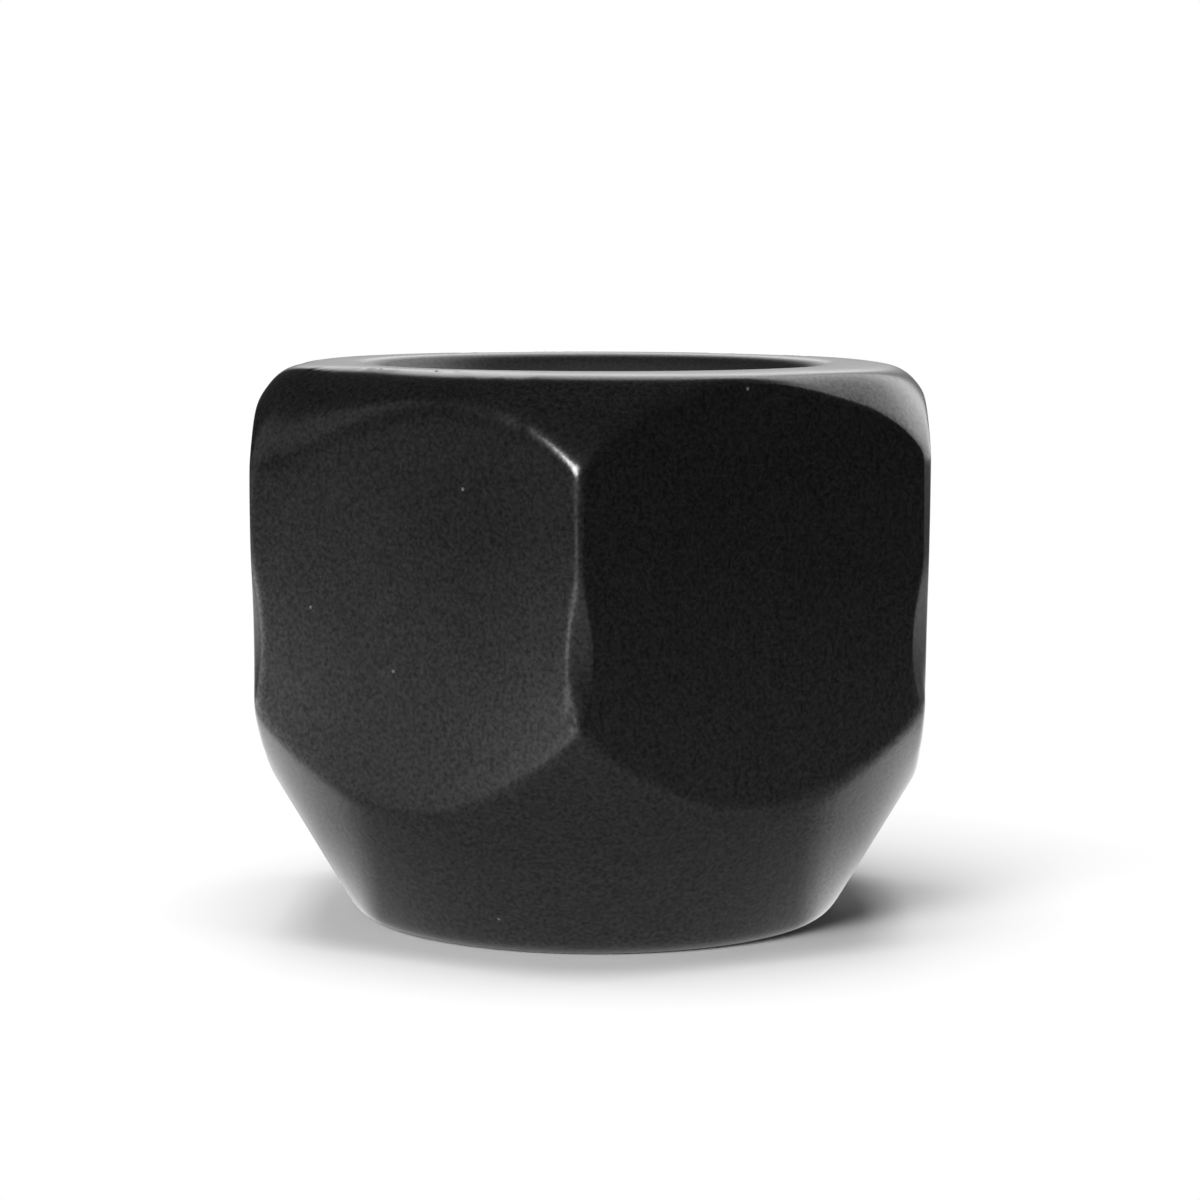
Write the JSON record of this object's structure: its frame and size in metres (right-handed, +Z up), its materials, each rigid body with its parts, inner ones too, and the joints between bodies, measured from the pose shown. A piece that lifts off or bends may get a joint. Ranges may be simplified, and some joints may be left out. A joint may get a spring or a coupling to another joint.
{
  "type": "lug nut",
  "caption": "Hexagonal wheel nut, open at both ends, with a rounded crown, leaning flats, a conical seat and a threaded hole for a wheel stud.",
  "frame": {"origin": "centre of the flat ring on the nose, on the thread axis, where the nut stands", "axes": "+Z up the thread axis from the nose to the top face; one corner of the hexagon points to -Y and two flats face +X and -X"},
  "size_m": [0.0192, 0.0218, 0.0163],
  "materials": {
    "black_coat": "thin satin black coat over forged steel, with a fine grain"
  },
  "bodies": {
    "root": {"lug_nut": "black_coat"}
  },
  "joints": []
}
